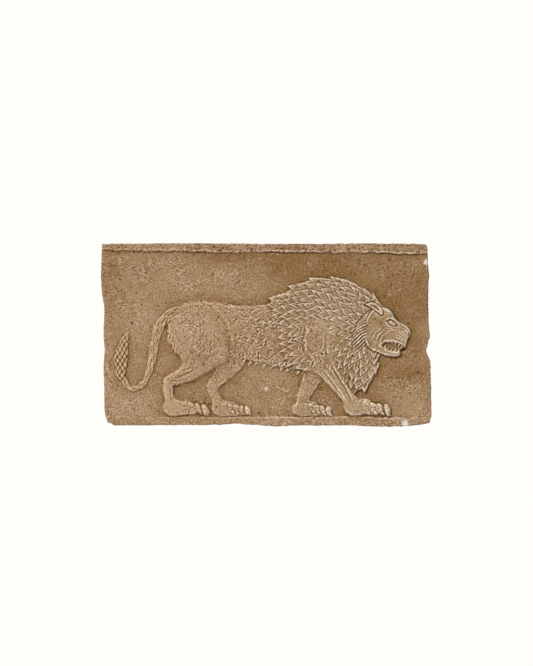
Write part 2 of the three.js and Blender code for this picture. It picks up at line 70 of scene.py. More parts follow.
# The slab's chipped edges, as smooth-edged lines of [along, across]
TOP_EDGE = [[-151, 83], [-60, 83.6], [20, 82.9], [90, 83.4], [143.6, 83], [149, 82.2]]
BOTTOM_EDGE = [
    [-151, -79.6], [-145, -80.4], [-137.5, -82], [-40, -81.4], [-30, -80.2], [-19, -81], [8, -82.8],
    [26, -82], [78, -82], [92, -83], [120, -83], [143.5, -81], [149, -79.6],
]
LEFT_EDGE = [
    [-83, -144.6], [-78.2, -145.8], [-68, -147.4], [-29, -148.4], [-14, -147.4], [4, -148.4],
    [24, -147.6], [40, -150.2], [54, -151], [83.6, -149.6],
]
RIGHT_EDGE = [
    [-83, 147.6], [-79, 148], [-74, 149], [-50, 148.6], [-24, 148], [-18.6, 145.6], [-13.4, 144],
    [-7.6, 145.8], [0, 147.6], [12, 146.2], [47, 146.2], [54, 147.2], [66, 145.6], [80.6, 145.2],
    [83.6, 144],
]
EDGE_ROUGHNESS = 0.9
OUTLINE_WAVER = 0.5
EDGE_REACH = 14.0

# Spacing of the height map, and how many triangles the carved piece keeps
STEP = 0.4
BACK_STRIDE = 8
WALL_ROWS = 12
TRIANGLES = 190_000

# Relief heights: each form's steep edge rises to "rise", and its crown swells by "crown" above that
TAIL = {"rise": 1.4, "crown": 0.5}
FAR_LEG = {"rise": 1.2, "crown": 0.5}
TORSO = {"rise": 1.7, "crown": 0.8, "swell": 24}
NEAR_LEG = {"rise": 2.2, "crown": 1.0}
HAUNCH = {"rise": 2.2, "crown": 1.6, "swell": 24}
MANE = {"rise": 2.2, "crown": 0.8, "swell": 18}
SHOULDER = {"rise": 2.6, "crown": 1.4, "swell": 18}
HEAD = {"rise": 3.0, "crown": 1.0, "swell": 12}
STEP_DOWN = 0.6

TORSO_OUTLINE = [
    [-84, 97], [-72, 105], [-52, 106], [-26, 102], [0, 104], [22, 113], [50, 112], [76, 98], [88, 76],
    [84, 52], [68, 38], [46, 38], [22, 43], [-4, 47], [-28, 52], [-50, 56], [-74, 58], [-89, 70], [-91, 85],
]
HAUNCH_OUTLINE = [
    [-82, 95], [-69, 101], [-55, 98], [-43, 87], [-36, 72], [-33, 58], [-40, 48], [-54, 44],
    [-70, 47], [-83, 56], [-91, 68], [-91, 83],
]
MANE_OUTLINE = [
    [2, 103], [16, 113], [34, 122], [54, 126], [74, 122.5], [90, 114.5], [103, 103], [101, 92], [97, 80],
    [96, 66], [99, 54], [99, 43], [95, 33], [86, 25], [75, 23], [62, 30], [48, 38], [31, 42],
    [19, 49], [12, 64], [8, 84],
]
SHOULDER_OUTLINE = [
    [44, 93], [55, 89], [63, 77], [66, 62], [62, 50], [51, 42], [38, 45], [31, 57], [29, 71], [34, 85],
]

# Legs, tail and tuft as smooth lines of [x, h, half width]
TAIL_LINE = [
    [-70, 97, 4.4], [-83, 95, 5.2], [-93, 88, 5], [-100, 75, 4.5], [-103, 57, 4.1], [-107, 40, 3.6],
    [-115, 28, 3.2], [-125, 27, 3.1], [-131, 37, 3.2],
]
TUFT_LINE = [
    [-130.5, 34, 2.9], [-132.5, 44, 5.6], [-132, 54, 6.6], [-129.5, 65, 4.8], [-126.5, 76, 0.9],
]
NEAR_HIND_LEG = [
    [-48, 58, 14], [-62, 47, 12], [-78, 37, 8.6], [-89, 31, 6.6], [-89, 21, 5.8], [-86, 11, 6.6],
    [-84, 7.6, 7],
]
NEAR_FORE_LEG = [[49, 58, 15], [56, 43, 11.8], [66, 28, 8.8], [74, 17, 7], [79, 8.6, 7.2]]
FAR_HIND_LEG = [
    [-26, 62, 13], [-34, 47, 10.5], [-43, 35, 7], [-49, 28, 5.8], [-47, 19, 5.2], [-43, 10, 5.8],
    [-41, 7, 6.2],
]
FAR_FORE_LEG = [[50, 50, 13], [42, 38, 9.6], [36, 26, 7.2], [33, 16, 6], [32, 7.6, 6.4]]

# Paws: the foot's own line, in a frame with the middle of the heel at its origin, and its toes
FOOT_LINE = [[-5.5, 8.2, 6.5], [0, 8.6, 8.4], [10, 8.6, 8.2], [18, 6.6, 6.2]]
NEAR_HIND_PAW = {"heel": -84, "size": 1.0, "rise": 1.6, "crown": 0.8, "toes_out": 3.4}
NEAR_FORE_PAW = {"heel": 80, "size": 1.0, "rise": 1.8, "crown": 0.8, "toes_out": 3.7}
FAR_HIND_PAW = {"heel": -41, "size": 0.84, "rise": 0.9, "crown": 0.4, "toes_out": 2.2}
FAR_FORE_PAW = {"heel": 32, "size": 0.84, "rise": 0.9, "crown": 0.4, "toes_out": 2.2}
TOES = 4
FIRST_TOE = 28.4
TOE_PITCH = 6.2
TOE_LEAN = 22

# Hair: pointed locks on rings round the face, along the tuft, and in two rows under the belly
FACE_CENTRE = (102, 79)
LOCK_RINGS = 13
FIRST_RING = 20.5
RING_PITCH = 6.5
LOCK_PITCH = 6.2
LOCK = {"root": 4.4, "length": 7, "half": 3.3, "out": 1.7, "buried": 0}
LOCK_MARGIN = 1.2
LOCK_CURL = 1.3
LOCK_RIM = 0.65
LOCK_VEIN = 0.3
LOCK_DISORDER = 0.5
TAIL_HAIRS = 26
TUFT_LEAN = 58
TUFT_PITCH = 3.6
FRINGE_LINE = [[-30, 52], [-14, 49], [6, 46], [26, 42.5], [44, 39]]
FRINGE_LOCKS = 11
FRINGE_LOCK = {"root": 1, "length": 9, "half": 2.9, "out": 0.9, "buried": 6}
FRINGE_TURN = -136
FRINGE_ROW_PITCH = 4

# Head, drawn in a frame of its own and then tilted and placed
HEAD_AT = (104, 77)
HEAD_TILT = -20
HEAD_SCALE = 0.9
HEAD_OUTLINE = [
    [-18, 17], [-12, 23], [-5, 25], [2, 23.4], [7.6, 19], [13, 16.6], [20, 15], [26, 12], [28.6, 7.4],
    [27.2, 2.6], [27.6, -2], [27.4, -6.6], [24.4, -10], [25, -15], [20.6, -19.6], [11, -21.8], [0, -22],
    [-10, -19], [-16, -10], [-18.6, 2], [-19.4, 10],
]
MOUTH_OUTLINE = [
    [28.4, -7], [20, -5.8], [12, -6.6], [5, -10.8], [5.4, -14], [12, -14.4], [19, -13.2], [26, -11.2],
]
MOUTH_DEPTH = 1.7
WRINKLE_LINE = [[13, 6.4], [6, 3], [1, -4], [0.4, -12]]
WRINKLES = 3
WRINKLE_STEP = (-4, 0.6)

# Teeth, from the fang at the front backwards: where each row starts and how it is spaced
TEETH = 5
TOOTH_PITCH = 3.5
UPPER_GUM = {"x": 23.2, "y": -5.8, "drop": 0.35}
LOWER_GUM = {"x": 21.5, "y": -14}
TOOTH = {"length": 2.8, "half": 1.3}
FANG = {"length": 4.4, "half": 1.7}

EAR_LINE = [[-8, 17, 3], [-13, 20.6, 4.2], [-18.6, 21.8, 3.6], [-24.6, 20.4, 0.8]]
EAR_HOLLOW = [[-10.5, 18.8, 1], [-14.6, 21, 1.9], [-20, 21.4, 0.9]]
RUFF_STRANDS = 12
HEAD_RIM = [[-9, 24.6], [-16, 17], [-18.6, 8], [-17.6, -4], [-14, -13], [-8, -19.4]]

# Bands of short curved hairs: a smooth line, the band's half width, how many hairs, and their lean
FUR_BANDS = [
    ([[-70, 101], [-46, 102], [-22, 98], [0, 99], [16, 106]], 3.5, 80, 192),
    ([[-30, 88], [-12, 85], [6, 86]], 7, 50, 205),
    ([[-28, 74], [-12, 70], [4, 68]], 7, 50, 215),
    ([[-34, 62], [-12, 56], [8, 52], [24, 47]], 5, 80, 222),
    ([[-88, 90], [-89, 78], [-85, 66], [-78, 56]], 3.5, 50, 250),
    ([[-68, 88], [-58, 76], [-54, 62]], 12, 60, 235),
    ([[-60, 52], [-74, 42], [-86, 32]], 5, 24, 215),
    ([[34, 82], [32, 66], [40, 50]], 4, 24, 240),
    ([[48, 76], [52, 60], [60, 42]], 8, 30, 255),
]
FUR_OUT = 0.5
FUR_WIDTH = 0.5

# Wear and surface: deep casting pits are [x, h, half width]
DEEP_PITS = [
    [-56.5, 12.5, 1.5], [-53, 11, 1.2], [-50.4, 12, 0.9], [-46, 9, 1.0], [49.5, 57, 1.3], [74.5, 35, 1.7],
    [137, 40, 1.2], [142, 34, 0.9], [128, 84, 1.0], [-133, 124, 1.0], [-118, 112, 0.8],
]
SCRATCHES = [
    [[8, 28], [13, 25], [19.5, 22.6]], [[-148, 22], [-141, 29], [-134, 36]], [[-146, 14], [-140, 18], [-133, 25]],
]
BUBBLES = [[-41.5, 128.4, 2.8], [7, 144, 4], [-73, 120, 2.2], [112, 112, 1.8]]
PITS = 1000
COARSE_CRUST = 0.16
FINE_CRUST = 0.04
LEVEL = 3.2
LEVELLING = 0.5
HAND_WAVER = 0.9
BUMP_DEPTH = 0.0003

# The highest that the carving may stand out of the field, a hair inside the frame's own front
FRONT_MARGIN = 0.05
MOST_OUT = -cad_box[0][1] / MM - FIELD_THICKNESS - FRONT_MARGIN


def smooth_line(points, per, closed=False):
    """Points along a smooth line, with `per` steps from each given point to the next."""
    given = np.array(points, float)
    if closed:
        around = np.vstack([given[-1:], given, given[:2]])
        spans = len(given)
    else:
        around = np.vstack([2 * given[:1] - given[1:2], given, 2 * given[-1:] - given[-2:-1]])
        spans = len(given) - 1
    t = np.linspace(0, 1, per, endpoint=False)[:, None]
    line = []
    for i in range(spans):
        before, start, end, after = around[i:i + 4]
        leave, arrive = (end - before) / 2, (after - start) / 2
        line.append(
            (2 * start - 2 * end + leave + arrive) * t**3
            + (3 * end - 3 * start - 2 * leave - arrive) * t**2 + leave * t + start
        )
    if not closed:
        line.append(given[-1:])
    return np.vstack(line)


def in_head(points):
    """Tilts and places points drawn in the head's own frame; a half width in third place is scaled."""
    c, s = math.cos(math.radians(HEAD_TILT)), math.sin(math.radians(HEAD_TILT))
    return [
        [HEAD_AT[0] + HEAD_SCALE * (p[0] * c - p[1] * s), HEAD_AT[1] + HEAD_SCALE * (p[0] * s + p[1] * c)]
        + [HEAD_SCALE * half for half in p[2:]]
        for p in points
    ]


def noise(x, z, size, seed):
    """Smooth noise from -1 to 1, with bumps about `size` across."""
    table = np.random.default_rng(seed).uniform(-1, 1, (256, 256))
    u, v = x / size + 128.37, z / size + 128.71
    i, j = np.floor(u).astype(int), np.floor(v).astype(int)
    fu, fv = u - i, v - j
    fu, fv = fu * fu * (3 - 2 * fu), fv * fv * (3 - 2 * fv)
    i, j, i1, j1 = i % 256, j % 256, (i + 1) % 256, (j + 1) % 256
    low = table[i, j] * (1 - fu) + table[i1, j] * fu
    high = table[i, j1] * (1 - fu) + table[i1, j1] * fu
    return low * (1 - fv) + high * fv


def layered_noise(x, z, size, seed, layers=3):
    return sum(noise(x, z, size / 2**k, seed + k) / 1.7**k for k in range(layers)) / 1.6


def blurred(values, width):
    """Gaussian blur of a height map; width is in millimetres."""
    reach = max(1, int(round(2.5 * width / STEP)))
    taps = np.exp(-0.5 * (np.arange(-reach, reach + 1) * STEP / width)**2)
    taps /= taps.sum()
    for axis in (0, 1):
        padding = [(reach, reach) if axis == a else (0, 0) for a in (0, 1)]
        padded = np.pad(values, padding, mode="edge")
        size = values.shape[axis]
        values = sum(tap * np.take(padded, range(k, k + size), axis) for k, tap in enumerate(taps))
    return values


def shifted(values, across, up):
    """A height map read a little to the side of each of its points; the shifts are in millimetres."""
    rows, columns = values.shape
    i = np.clip(np.arange(columns)[None, :] + across / STEP, 0, columns - 1.001)
    j = np.clip(np.arange(rows)[:, None] + up / STEP, 0, rows - 1.001)
    left, low = i.astype(int), j.astype(int)
    part_i, part_j = i - left, j - low
    below = values[low, left] * (1 - part_i) + values[low, left + 1] * part_i
    above = values[low + 1, left] * (1 - part_i) + values[low + 1, left + 1] * part_i
    return below * (1 - part_j) + above * part_j


def smooth_max(a, b, width):
    mix = np.clip(0.5 + 0.5 * (a - b) / width, 0, 1)
    return b + (a - b) * mix + width * mix * (1 - mix)


def inside_distance(x, h, loop):
    """How far points are inside a closed line, or minus how far outside."""
    nearest = np.full(np.shape(x), 1e9)
    inside = np.zeros(np.shape(x), bool)
    for (ax, ah), (bx, bh) in zip(loop, np.roll(loop, -1, 0)):
        dx, dh = bx - ax, bh - ah
        t = np.clip(((x - ax) * dx + (h - ah) * dh) / (dx * dx + dh * dh), 0, 1)
        nearest = np.minimum(nearest, (x - ax - t * dx)**2 + (h - ah - t * dh)**2)
        if dh != 0:
            inside ^= ((ah > h) != (bh > h)) & (x < (h - ah) / dh * dx + ax)
    return np.where(inside, 1, -1) * np.sqrt(nearest)


def limb_distance(x, h, line):
    """How far points are inside a tapering limb, and how far across it they lie, 0 to 1."""
    inset = np.full(np.shape(x), -1e9)
    across = np.full(np.shape(x), 1e9)
    for (ax, ah, ar), (bx, bh, br) in zip(line[:-1], line[1:]):
        dx, dh = bx - ax, bh - ah
        t = np.clip(((x - ax) * dx + (h - ah) * dh) / (dx * dx + dh * dh), 0, 1)
        away = np.hypot(x - ax - t * dx, h - ah - t * dh)
        radius = ar + t * (br - ar)
        inset = np.maximum(inset, radius - away)
        across = np.minimum(across, away / radius)
    return inset, across


class Carving:
    """The height map of the panel's front. Forms are laid on it from the farthest to the nearest."""

    def __init__(self):
        columns = int(round(300 / STEP / BACK_STRIDE)) * BACK_STRIDE
        rows = int(round(166.6 / STEP / BACK_STRIDE)) * BACK_STRIDE
        self.x = np.linspace(-151, 149, columns + 1)
        self.z = np.linspace(-83, 83.6, rows + 1)
        self.X, self.Z = np.meshgrid(self.x, self.z)
        self.H = self.Z - LEDGE_TOP
        self.out = np.zeros_like(self.X)
        self.crisp = np.zeros_like(self.X)

    def window(self, points, margin):
        """The part of the map round some points."""
        (x0, h0), (x1, h1) = np.min(points, 0)[:2] - margin, np.max(points, 0)[:2] + margin
        i0, i1 = np.searchsorted(self.x, [x0, x1])
        j0, j1 = np.searchsorted(self.z, [h0 + LEDGE_TOP, h1 + LEDGE_TOP])
        return slice(j0, j1), slice(i0, i1)

    def fuse(self, forms, rise, edge=1.5, fillet=3.0, covers=False, groove=0.45, groove_width=1.0):
        """Lays forms that melt into one another: a steep edge up to rise, then each form's crown.

        A form is (line, crown, swell): a closed loop where the line has two columns, and a limb where
        it has three. Forms that cover hide what they lie on, with a step down at their edge. A groove
        runs round the edge, cut into what lies below.
        """
        reach = max(line[:, 2].max() if line.shape[1] == 3 else 0 for line, _, _ in forms)
        view = self.window(np.vstack([line[:, :2] for line, _, _ in forms]), reach + 4)
        x, h = self.X[view], self.H[view]
        inset, crown = None, None
        for line, height, swell in forms:
            if line.shape[1] == 2:
                deep = inside_distance(x, h, line)
                swelling = height * (1 - np.clip(1 - deep / swell, 0, 1)**2) * (deep > 0)
            else:
                deep, across = limb_distance(x, h, line)
                swelling = height * (1 - np.clip(across, 0, 1)**swell)
            inset = deep if inset is None else smooth_max(inset, deep, fillet)
            crown = swelling if crown is None else smooth_max(crown, swelling, 0.35)
        inset = inset + OUTLINE_WAVER * layered_noise(x, h, 7, 19)
        steep = np.clip(inset / edge, 0, 1)
        steep = steep * steep * (3 - 2 * steep)
        below = self.out[view]
        foot = STEP_DOWN * below if covers else 0
        top = foot + (rise - foot) * steep + crown * steep
        grooved = below - groove * np.exp(-(np.minimum(inset, 0) / groove_width)**2) * (below > 0.5)
        laid = top if covers else smooth_max(top, below, 0.25)
        self.out[view] = np.where(inset > 0, laid, grooved)
        return view, inset

    def mound(self, x, h, half_x, half_h, turn, out, power=0.5, add=False, groove=0.0):
        """A rounded swelling turned in the plane of the relief, laid on or added to what is there."""
        reach = max(half_x, half_h) + 1.5
        view = self.window([[x, h]], reach)
        c, s = math.cos(math.radians(turn)), math.sin(math.radians(turn))
        dx, dh = self.X[view] - x, self.H[view] - h
        q = np.hypot((dx * c + dh * s) / half_x, (-dx * s + dh * c) / half_h)
        height = out * np.clip(1 - q * q, 0, 1)**power
        if add:
            self.out[view] += height
            return
        rim = groove * np.exp(-((q - 1) * min(half_x, half_h) / 0.55)**2) * (q > 1)
        self.out[view] = np.where(q < 1, np.maximum(self.out[view], height), self.out[view] - rim)

    def stroke(self, points, out, width, fade=6.0, only=None, crisp=False):
        """A ridge (out over 0) or groove (under 0) along a smooth line, fading at both ends."""
        line = smooth_line([p[:2] for p in points], 8)
        view = self.window(line, 3 * width)
        x, h = self.X[view], self.H[view]
        nearest, place = np.full(x.shape, 1e9), np.zeros(x.shape)
        for i, ((ax, ah), (bx, bh)) in enumerate(zip(line[:-1], line[1:])):
            dx, dh = bx - ax, bh - ah
            t = np.clip(((x - ax) * dx + (h - ah) * dh) / (dx * dx + dh * dh), 0, 1)
            away = np.hypot(x - ax - t * dx, h - ah - t * dh)
            place = np.where(away < nearest, (i + t) / (len(line) - 1), place)
            nearest = np.minimum(nearest, away)
        strength = np.clip(np.minimum(place, 1 - place) * fade, 0, 1)**0.7
        reached = self.out[view] > 0.5 if only is None else only[view]
        self.out[view] += out * np.exp(-(nearest / width)**2) * strength * reached
        if crisp:
            self.crisp[view] = np.maximum(self.crisp[view], nearest < 1.5 * width)

    def fold(self, points, depth, width, crisp=False):
        """A groove with a raised lip on its left, as muscles and tendons are drawn."""
        line = np.array(points, float)
        ahead = np.gradient(line, axis=0)
        left = np.stack([-ahead[:, 1], ahead[:, 0]], -1) / np.hypot(*ahead.T)[:, None]
        self.stroke(line, -depth, width, fade=4, crisp=crisp)
        self.stroke(line + 1.7 * width * left, depth, width, fade=4, crisp=crisp)

    def lock(self, x, h, turn, shape, foot):
        """A pointed lock of hair, widest at [x, h], with a root behind and a tip that lifts and curls.

        It has raised rims and a vein down its middle. It rises out of what lies below it over its first
        "buried" millimetres, and covers the rest.
        """
        root, length, half, out = (shape[key] for key in ("root", "length", "half", "out"))
        view = self.window([[x, h]], length + 1)
        c, s = math.cos(math.radians(turn)), math.sin(math.radians(turn))
        dx, dh = self.X[view] - x, self.H[view] - h
        along = dx * c + dh * s
        side = -dx * s + dh * c - LOCK_CURL * (np.clip(along, 0, None) / length)**2
        width = half * np.clip(1 - along / length, 0, 1)**0.8
        inset = width - np.abs(side)
        edge = np.clip(inset / 0.6, 0, 1)
        lift = out * (0.1 + 0.9 * np.clip((along + root) / (0.85 * length + root), 0, 1))
        hair = LOCK_RIM * np.exp(-((inset - 0.7) / 0.4)**2) + LOCK_VEIN * np.exp(-(side / 0.35)**2)
        top = foot - 1.0 + (lift + 1.0 - 0.5) * edge**0.6 + hair * edge
        laid = (along > -root) & (along < length) & (inset > 0)
        under = self.out[view] * (along < shape["buried"])
        self.out[view] = np.where(laid, np.maximum(top, under), self.out[view])
        self.crisp[view] = np.maximum(self.crisp[view], laid)


def loop(outline, crown, swell):
    return smooth_line(outline, 6, closed=True), crown, swell


def limb(points, crown, roundness=2.4):
    return smooth_line(points, 5), crown, roundness


def carve_frame(carving):
    """The plain band along the top with its bead, and the ledge below."""
    waver = 0.5 * np.sin(carving.X / 31) + 0.35 * np.sin(carving.X / 12.3 + 1)
    above = carving.Z - BAND_FOOT - waver - BAND_SLOPE * carving.X + 0.3 * noise(carving.X, carving.Z, 5, 11)
    band = BAND_RISE * np.sin(np.clip(above / 1.3, 0, 1) * np.pi / 2)
    bead = 0.6 * np.exp(-((above - 1.5) / 0.8)**2) - 0.5 * np.exp(-((above - 3.4) / 1.2)**2)
    groove = 0.25 * np.exp(-((above + 0.5) / 0.8)**2)
    broken = np.clip(0.5 + 0.9 * layered_noise(carving.X, carving.Z, 12, 13), 0, 1)
    under = LEDGE_TOP + waver - carving.Z + 0.3 * noise(carving.X, carving.Z, 6, 12)
    ledge = LEDGE_RISE * np.sin(np.clip(under / 1.2, 0, 1) * np.pi / 2)
    lip = 0.35 * np.exp(-((under - 1.3) / 0.8)**2)
    worn_in_corners = np.clip((carving.X + 112) / 45, 0.3, 1) * np.clip((150 - carving.X) / 30, 0.4, 1)
    strips = np.maximum(band, ledge * worn_in_corners)
    carving.out = strips + (bead * (above > 0) + lip * worn_in_corners) * broken - groove * (0.4 + 0.8 * broken)


def carve_tail(carving):
    carving.fuse([limb(TAIL_LINE, TAIL["crown"])], TAIL["rise"], edge=1.4)
    carving.fuse([limb(TUFT_LINE, TAIL["crown"])], TAIL["rise"] + 0.5, edge=1.2)
    for i in range(TAIL_HAIRS):
        tail = smooth_line(TAIL_LINE, 10)
        k = 6 + int(i * (len(tail) - 14) / TAIL_HAIRS)
        x, h, half = tail[k]
        dx, dh = (tail[k + 6] - tail[k])[:2]
        side = (-0.5, 0.4, -0.05)[i % 3] * half / math.hypot(dx, dh)
        root = [x - dh * side, h + dx * side]
        hair = [root, [root[0] + dx / 2, root[1] + dh / 2], [root[0] + dx, root[1] + dh]]
        carving.stroke(hair, -0.9, 0.6, fade=4, crisp=True)
    line = smooth_line(TUFT_LINE, 12)
    view = carving.window(line, 8)
    x, h = carving.X[view], carving.H[view]
    inset, _ = limb_distance(x, h, line)
    for lean in (TUFT_LEAN, 180 - TUFT_LEAN):
        c, s = math.cos(math.radians(lean)), math.sin(math.radians(lean))
        place = (-(x - line[0][0]) * s + (h - line[0][1]) * c) / TUFT_PITCH
        groove = np.exp(-((place - np.round(place)) * TUFT_PITCH / 0.55)**2)
        carving.out[view] -= 1.3 * groove * np.clip(inset / 1.2, 0, 1)
    carving.crisp[view] = np.maximum(carving.crisp[view], inset > 0)


def carve_paw(carving, paw):
    """The row of knuckled toes at the front of a foot, each with a claw; the front toe lies on top."""
    heel, size, out = paw["heel"], paw["size"], paw["toes_out"]
    for i in range(TOES)[::-1]:
        x = heel + (FIRST_TOE - i * TOE_PITCH) * size
        h = (6.2 + 0.9 * i) * size
        tendon = [[x - 2 * size, h + 5 * size], [x - 6 * size, h + 6.4 * size], [x - 11 * size, h + 6.2 * size]]
        carving.fold(tendon, 0.3, 0.6, crisp=True)
        carving.mound(x, h, 3.4 * size, 6.2 * size, TOE_LEAN, out - 0.2 * i, 0.6, groove=0.6)
        knuckle = [[x - 3 * size, h + 0.4 * size], [x + 0.2 * size, h + 1.6 * size], [x + 3 * size, h - 0.4 * size]]
        carving.fold(knuckle, 0.35, 0.55, crisp=True)
        claw = [[x + 1.4 * size, h - 3.2 * size, 1.2], [x + 2.8 * size, h - 4.4 * size, 0.9],
                [x + 3.6 * size, h - 6 * size, 0.3]]
        carving.fuse([limb(claw, 0.3)], 0.9 * out, edge=0.8, groove=0.6, groove_width=0.5)
    view = carving.window([[heel - 9 * size, 0], [heel + 32 * size, 17 * size]], 0)
    carving.crisp[view] = np.maximum(carving.crisp[view], 0.6 * (carving.out[view] > 0.4))


def foot_of(paw):
    size = paw["size"]
    return [[paw["heel"] + x * size, h * size, half * size] for x, h, half in FOOT_LINE]


def carve_far_legs(carving):
    for leg, paw in ((FAR_HIND_LEG, FAR_HIND_PAW), (FAR_FORE_LEG, FAR_FORE_PAW)):
        forms = [limb(leg, FAR_LEG["crown"]), limb(foot_of(paw), paw["crown"])]
        carving.fuse(forms, FAR_LEG["rise"], edge=1.3)
        carve_paw(carving, paw)


def carve_torso(carving):
    carving.fuse([loop(TORSO_OUTLINE, TORSO["crown"], TORSO["swell"])], TORSO["rise"], edge=3.4, groove=0)
    carving.mound(-14, 80, 30, 19, 6, 0.4, power=1, add=True)
    carving.mound(-34, 64, 18, 10, 16, -0.4, power=1, add=True)
    for i in range(5):
        x = -17 + i * 7.4
        carving.fold([[x + 6, 92], [x + 2, 80], [x - 4, 68], [x - 10, 60]], 0.22, 1.5)


def carve_fringe(carving):
    """Two rows of longer locks that hang under the flank."""
    line = smooth_line(FRINGE_LINE, 12)
    for row in (1, 0):
        for i in range(FRINGE_LOCKS):
            place = (i + 0.5 * row) / FRINGE_LOCKS * (len(line) - 1)
            root = line[int(place)]
            turn = FRINGE_TURN + 12 * math.sin(3.1 * i + row)
            h = root[1] + 4 + row * FRINGE_ROW_PITCH + 0.5 * math.sin(5.3 * i)
            carving.lock(root[0], h, turn, FRINGE_LOCK, 0.7 + 0.8 * row)


def carve_near_hind_leg(carving):
    forms = [
        loop(HAUNCH_OUTLINE, HAUNCH["crown"], HAUNCH["swell"]),
        limb(NEAR_HIND_LEG, NEAR_LEG["crown"]),
        limb(foot_of(NEAR_HIND_PAW), NEAR_HIND_PAW["crown"]),
    ]
    carving.fuse(forms, HAUNCH["rise"], edge=3.4, fillet=6, groove=0)
    carving.fold([[-49, 97], [-39, 86], [-34, 72], [-35, 58]], 0.5, 1.5)
    carving.fold([[-84, 86], [-82, 74], [-75, 63]], 0.3, 1.6)
    carving.fold([[-70, 61], [-58, 55], [-47, 57], [-41, 66]], 0.35, 1.5)
    carving.fold([[-62, 45], [-74, 38.6], [-84, 34]], 0.5, 0.8, crisp=True)
    carving.fold([[-88, 28], [-87, 19], [-85, 12]], 0.45, 0.7, crisp=True)
    carving.mound(-71, 74, 17, 20, 10, 0.7, power=1, add=True)
    carving.mound(-44, 60, 11, 15, -20, 0.6, power=1, add=True)
    carving.mound(-90, 33, 4.6, 3.6, 40, 0.6, power=1, add=True)
    carve_paw(carving, NEAR_HIND_PAW)


def carve_mane(carving):
    """The mane and its overlapping scales, the outermost first, clear of the shoulder and the head."""
    mane = smooth_line(MANE_OUTLINE, 6, closed=True)
    carving.fuse([(mane, MANE["crown"], MANE["swell"])], MANE["rise"], edge=1.3, groove=0.35)
    covers = [smooth_line(SHOULDER_OUTLINE, 3, closed=True), smooth_line(in_head(HEAD_OUTLINE), 3, closed=True)]
    leg = smooth_line(NEAR_FORE_LEG, 3)
    random = np.random.default_rng(29)
    for ring in range(LOCK_RINGS)[::-1]:
        radius = FIRST_RING + ring * RING_PITCH
        count = int(2 * math.pi * radius / LOCK_PITCH)
        for i in range(count):
            turn = 360 * (i + 0.5 * (ring % 2)) / count
            c, s = math.cos(math.radians(turn)), math.sin(math.radians(turn))
            x, h = FACE_CENTRE[0] + radius * c, FACE_CENTRE[1] + radius * s
            at = np.array([x]), np.array([h])
            inset = float(inside_distance(*at, mane)[0])
            hidden = any(inside_distance(*at, cover)[0] > 1.5 for cover in covers)
            hidden = hidden or limb_distance(*at, leg)[0][0] > 1.5
            if inset > LOCK_MARGIN and not hidden:
                swell = 1 - (1 - min(inset / MANE["swell"], 1))**2
                foot = MANE["rise"] + MANE["crown"] * swell - 0.3
                x, h = random.normal([x, h], LOCK_DISORDER)
                carving.lock(x, h, turn + random.normal(0, 16 * LOCK_DISORDER), LOCK, foot)


def carve_near_fore_leg(carving):
    forms = [
        loop(SHOULDER_OUTLINE, SHOULDER["crown"], SHOULDER["swell"]),
        limb(NEAR_FORE_LEG, NEAR_LEG["crown"]),
        limb(foot_of(NEAR_FORE_PAW), NEAR_FORE_PAW["crown"]),
    ]
    carving.fuse(forms, SHOULDER["rise"], edge=2.8, fillet=6, groove=0.2)
    carving.fold([[45, 90], [35, 80], [32, 68], [36, 56], [45, 47]], 0.45, 1.4)
    carving.fold([[57, 84], [53, 70], [53, 58], [59, 46]], 0.35, 1.3)
    carving.fold([[56, 50], [63, 38], [71, 24], [77, 13]], 0.6, 0.8, crisp=True)
    carving.fold([[49, 44], [58, 32], [67, 19], [73, 10]], 0.5, 0.8, crisp=True)
    carving.mound(45, 47, 5, 3.2, 60, 0.5, power=1, add=True)
    carve_paw(carving, NEAR_FORE_PAW)


def carve_fur(carving):
    """Short curved hairs, scattered in bands along the back, the flank, the thigh and the shoulder."""
    random = np.random.default_rng(17)
    for line, half_width, hairs, lean in FUR_BANDS:
        path = smooth_line(line, 12)
        for _ in range(hairs):
            x, h = path[random.integers(len(path))] + random.normal(0, 0.5 * half_width, 2)
            turn = math.radians(lean + random.normal(0, 28))
            bend = turn + random.choice([-1, 1]) * random.uniform(0.5, 1.2)
            step = random.uniform(1.8, 3.6)
            middle = [x + step * math.cos(turn), h + step * math.sin(turn)]
            tip = [middle[0] + step * math.cos(bend), middle[1] + step * math.sin(bend)]
            carving.fold([[x, h], middle, tip], FUR_OUT * random.uniform(0.4, 1.3), FUR_WIDTH, crisp=True)


def carve_ruff(carving):
    """Curved strands that fan out behind the cheek, under a raised rim along the back of the head."""
    for i in range(RUFF_STRANDS):
        t = i / (RUFF_STRANDS - 1)
        root = [-12.5 - 4.5 * math.sin(t * math.pi), 19 - 37 * t]
        turn = math.radians(-142 + 24 * t)
        length = 18 - 3 * abs(t - 0.4)
        middle = [root[0] + 0.5 * length * math.cos(turn), root[1] + 0.5 * length * math.sin(turn)]
        tip = [root[0] + length * math.cos(turn + 0.1), root[1] + length * math.sin(turn + 0.1)]
        strand = in_head([[*root, 1.3], [*middle, 1.5], [*tip, 0.6]])
        carving.fuse([limb(strand, 0.5)], 3.2, edge=0.9, covers=True, groove=0.8, groove_width=0.5)


def carve_mouth(carving):
    mouth = smooth_line(in_head(MOUTH_OUTLINE), 6, closed=True)
    view = carving.window(mouth, 3)
    inset = inside_distance(carving.X[view], carving.H[view], mouth)
    carving.out[view] -= MOUTH_DEPTH * np.clip((inset + 0.4) / 1.0, 0, 1)
    for i in range(TEETH):
        tooth = FANG if i == 0 else TOOTH
        upper = [UPPER_GUM["x"] - i * TOOTH_PITCH, UPPER_GUM["y"] - i * UPPER_GUM["drop"]]
        lower = [LOWER_GUM["x"] - i * TOOTH_PITCH, LOWER_GUM["y"]]
        for (x, y), down in ((upper, -1), (lower, 1)):
            line = in_head([[x, y, tooth["half"]], [x, y + down * tooth["length"], 0.4]])
            carving.fuse([limb(line, 0.2)], 3.4, edge=0.7, groove=0.25, groove_width=0.4)


